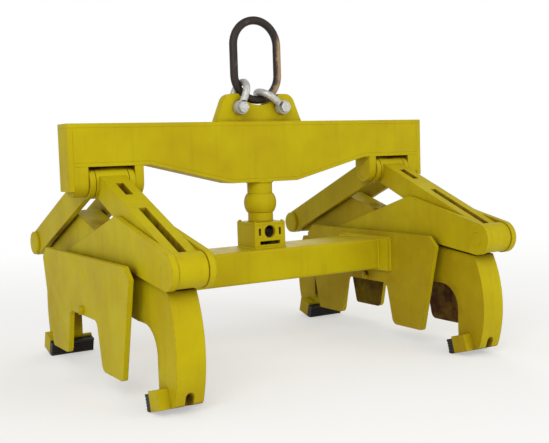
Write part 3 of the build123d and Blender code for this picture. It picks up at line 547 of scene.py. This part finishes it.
def make_cotter(node, body, steel):
    """Split cotter: an eye of round wire, two legs through the pin, and the ends bent apart."""
    low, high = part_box(node)
    x, y = (low.x + high.x) / 2, (low.y + high.y) / 2
    bend = low.z + COTTER_TAIL
    neck = high.z - 3 * COTTER_EYE
    parts = []
    for way in (-1, 1):
        bpy.ops.object.select_all(action="DESELECT")
        bpy.ops.mesh.primitive_circle_add(
            vertices=COTTER_SIDES, radius=COTTER_WIRE / 2, fill_type="NGON",
            location=(x + way * COTTER_WIRE / 2, y, neck))
        leg = bpy.context.active_object
        settle(leg)
        bpy.ops.object.mode_set(mode="EDIT")
        bpy.ops.mesh.select_all(action="SELECT")
        bpy.ops.mesh.extrude_region_move(TRANSFORM_OT_translate={"value": (0, 0, bend - neck)})
        step = (way * COTTER_SPREAD, 0, -COTTER_DROP)
        for _ in range(COTTER_BENDS):
            bpy.ops.mesh.extrude_region_move(TRANSFORM_OT_translate={"value": step})
        bpy.ops.mesh.select_all(action="SELECT")
        bpy.ops.mesh.normals_make_consistent(inside=False)
        bpy.ops.object.mode_set(mode="OBJECT")
        parts.append(leg)
    bpy.ops.object.select_all(action="DESELECT")
    bpy.ops.mesh.primitive_torus_add(
        location=(x, y, neck + COTTER_EYE - COTTER_WIRE / 2), rotation=(math.pi / 2, 0, 0),
        major_radius=COTTER_EYE - COTTER_WIRE / 2, minor_radius=COTTER_WIRE / 2,
        major_segments=COTTER_EYE_SECTIONS, minor_segments=COTTER_SIDES)
    parts.append(bpy.context.active_object)
    settle(parts[-1])
    piece = join(node.replace("shackle_cotter", "split_cotter"), parts)
    wear(piece, steel)
    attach(piece, body)
    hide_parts(node)


def make_floor():
    """Pale studio floor that keeps the clamp's shadow and fades to white far away."""
    material, tree, out = new_material("studio_floor")
    place = put(tree, "TexCoord").outputs["Object"]
    far = put(tree, "VectorMath", {0: place}, operation="LENGTH")
    fade = put(tree, "MapRange", {
        "Value": far.outputs["Value"], "From Min": FLOOR_FADE_START, "From Max": FLOOR_FADE_END,
        "To Min": FLOOR_WHITE_NEAR, "To Max": 1.0,
    }, interpolation_type="SMOOTHSTEP")
    ray = put(tree, "LightPath")
    seen = put(tree, "Math", {0: ray.outputs["Is Camera Ray"], 1: ray.outputs["Is Glossy Ray"]},
               operation="MAXIMUM")
    share = put(tree, "Math", {0: fade.outputs["Result"], 1: seen.outputs["Value"]}, operation="MULTIPLY")
    ground = put(tree, "BsdfDiffuse", {"Color": colour("#F4F3F0")})
    white = put(tree, "Emission", {"Color": (1, 1, 1, 1), "Strength": 1.0})
    mix = put(tree, "MixShader", {
        0: share.outputs["Value"], 1: ground.outputs["BSDF"], 2: white.outputs["Emission"],
    })
    tree.links.new(mix.outputs["Shader"], out.inputs["Surface"])
    bpy.ops.object.select_all(action="DESELECT")
    bpy.ops.mesh.primitive_circle_add(vertices=FLOOR_SIDES, radius=FLOOR_RADIUS, fill_type="NGON")
    floor = bpy.context.active_object
    floor.name = "studio_floor"
    wear(floor, material)


def make_light():
    """Even white surroundings, a broad lamp from the front left and weak ones from the right and behind."""
    world = bpy.data.worlds.new("studio")
    bpy.context.scene.world = world
    world.use_nodes = True
    tree = world.node_tree
    tree.nodes.clear()
    ray = put(tree, "LightPath")
    seen = put(tree, "Math", {0: ray.outputs["Is Camera Ray"], 1: ray.outputs["Is Transmission Ray"]},
               operation="MAXIMUM")
    around = put(tree, "Background", {"Color": (1, 1, 1, 1), "Strength": SURROUNDINGS})
    behind = put(tree, "Background", {"Color": (1, 1, 1, 1), "Strength": 1.0})
    mix = put(tree, "MixShader", {
        0: seen.outputs["Value"], 1: around.outputs["Background"], 2: behind.outputs["Background"],
    })
    out = put(tree, "OutputWorld")
    tree.links.new(mix.outputs["Shader"], out.inputs["Surface"])
    for name, place, size, power in LAMPS:
        lamp = bpy.data.lights.new(name, "AREA")
        lamp.energy = power
        lamp.size = size
        holder = bpy.data.objects.new(name, lamp)
        bpy.context.scene.collection.objects.link(holder)
        holder.location = place
        holder.rotation_euler = (Vector(LAMP_AIM) - Vector(place)).to_track_quat("-Z", "Y").to_euler()


def make_camera():
    """Camera at the photograph's place and angle."""
    yaw, pitch, roll = (math.radians(a) for a in (CAMERA_YAW, CAMERA_PITCH, CAMERA_ROLL))
    ahead = Vector((math.sin(yaw) * math.cos(pitch), math.cos(yaw) * math.cos(pitch), math.sin(pitch)))
    right = Vector((math.cos(yaw), -math.sin(yaw), 0))
    up = right.cross(ahead)
    turned_right = math.cos(roll) * right + math.sin(roll) * up
    turned_up = math.cos(roll) * up - math.sin(roll) * right
    camera = bpy.data.cameras.new("photo_camera")
    camera.sensor_fit = "HORIZONTAL"
    camera.sensor_width = CAMERA_SENSOR
    camera.lens = CAMERA_LENS
    camera.clip_end = 100
    holder = bpy.data.objects.new("photo_camera", camera)
    bpy.context.scene.collection.objects.link(holder)
    holder.location = CAMERA_PLACE
    holder.rotation_euler = Matrix((turned_right, turned_up, -ahead)).transposed().to_euler()
    bpy.context.scene.camera = holder


enamel_beam = enamel("yellow_enamel_beam", chips=0.0)
enamel_plate = enamel("yellow_enamel_left")
enamel_jaw = enamel("rubbed_shaded_enamel_left", rust_and_shade=0.75)
enamel_link = enamel("grimy_shaded_enamel_left_links", rust_and_shade=0.6, grime_and_shade_reach=0.13)
enamel_dusty_shaded = enamel("yellow_enamel_right", dust_and_shade=0.14)
enamel_dusty_shaded_link = enamel("grimy_shaded_enamel_right_links", dust_and_shade=0.14, rust_and_shade=0.75, grime_and_shade_reach=0.13)
enamel_dusty_shaded_guide = enamel("yellow_enamel_right_inner_guide", dust_and_shade=0.36)
enamel_scaled_shaded_guide = enamel(
    "yellow_enamel_right_outer_guide", dust_and_shade=0.92, soil_and_shade="#451D0D", thin_back=0.84)
enamel_dusty_shaded_jaw = enamel("rubbed_shaded_enamel_right", dust_and_shade=0.34, rust_and_shade=1.0)
zinc = galvanised_steel()
forging = forged_steel()
tool_steel = hardened_steel()
bar_steel = machined_steel()

for name, node in nodes.items():
    far_tong = "_right" in name
    if name.startswith("shackle_"):
        wear(node, zinc)
    elif name == "master_link":
        wear(node, forging)
    elif name.startswith("jaw_insert"):
        wear(node, tool_steel)
    elif name.startswith("insert_bolt") or name == "latch_hook":
        wear(node, bar_steel)
    elif name == "guide_plate_right_inner":
        wear(node, enamel_dusty_shaded_guide)
    elif name == "guide_plate_right_outer":
        wear(node, enamel_scaled_shaded_guide)
    elif name.startswith("jaw_plate"):
        wear(node, enamel_dusty_shaded_jaw if far_tong else enamel_jaw)
    elif name.startswith("link_"):
        wear(node, enamel_dusty_shaded_link if far_tong else enamel_link)
    elif name.startswith(BEAM_NODES):
        wear(node, enamel_beam)
    else:
        wear(node, enamel_dusty_shaded if far_tong else enamel_plate)

make_welds(enamel_beam)
for side in ("left", "right"):
    make_cotter(f"shackle_cotter_{side}", f"shackle_{side}", zinc)
make_floor()
make_light()
make_camera()
bpy.context.scene.view_settings.view_transform = "Standard"
